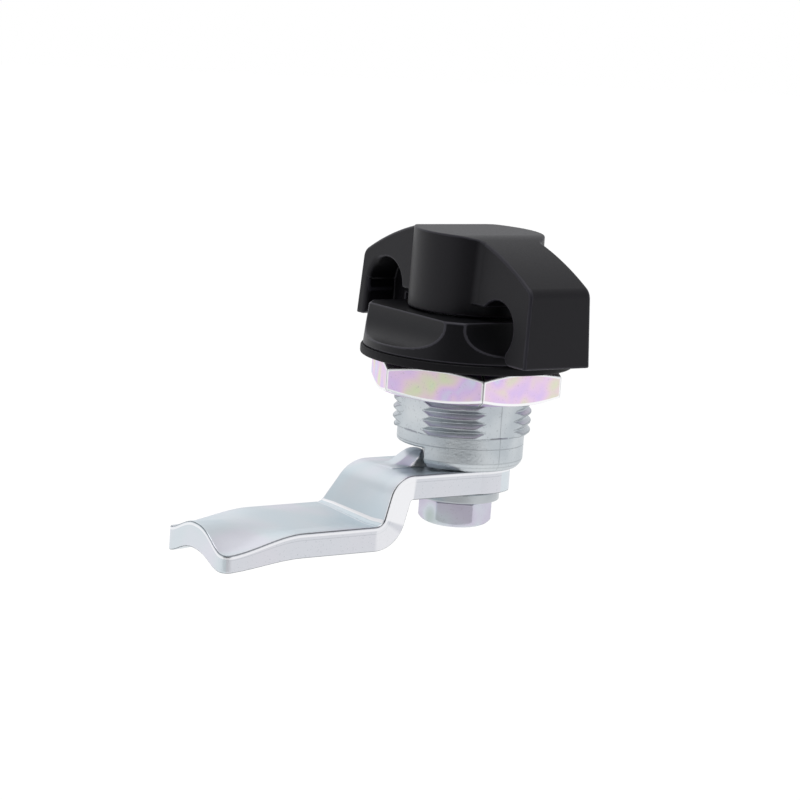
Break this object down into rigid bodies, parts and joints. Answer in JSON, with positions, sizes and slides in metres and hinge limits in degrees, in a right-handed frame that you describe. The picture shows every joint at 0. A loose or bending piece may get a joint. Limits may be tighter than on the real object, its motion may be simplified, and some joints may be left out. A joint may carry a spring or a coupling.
{
  "type": "quarter-turn cam latch",
  "caption": "Panel cam latch: a wing handle turns a bent steel cam by a quarter turn, with a scooped collar that takes a padlock and a threaded barrel with a nut.",
  "frame": {"origin": "on the turning axis, in the plane of the panel's outer face, where the gasket rests", "axes": "+Z out of the panel towards the handle, X along the two wings with the longer leg at +X, and -Y along the cam at rest"},
  "size_m": [0.0449, 0.0646, 0.0499],
  "materials": {
    "handle_black": "fine-grained moulded nylon, satin black",
    "collar_black": "fine-grained moulded nylon, satin black",
    "seal_rubber": "matt black rubber",
    "zinc_casting": "plain zinc die-casting, matt pale grey",
    "nut_plating": "zinc plate with an iridescent passivated film",
    "spindle_steel": "turned steel, zinc plated",
    "cam_steel": "pressed steel plate, satin blue-white zinc plate",
    "screw_steel": "forged steel, zinc plate with a faint iridescent film"
  },
  "bodies": {
    "mounting": {"housing": "zinc_casting", "padlock_collar": "collar_black", "flange_gasket": "seal_rubber", "hex_nut": "nut_plating"},
    "turning": {"wing_handle": "handle_black", "spindle": "spindle_steel", "spindle_ring": "seal_rubber", "cam": "cam_steel", "spring_washer": "screw_steel", "cam_screw": "screw_steel"}
  },
  "joints": [
    {"name": "quarter_turn", "type": "hinge", "parent": "mounting", "child": "turning", "pos_m": [0, 0, 0], "axis": [0, 0, 1], "range_deg": [-90, 0]}
  ]
}
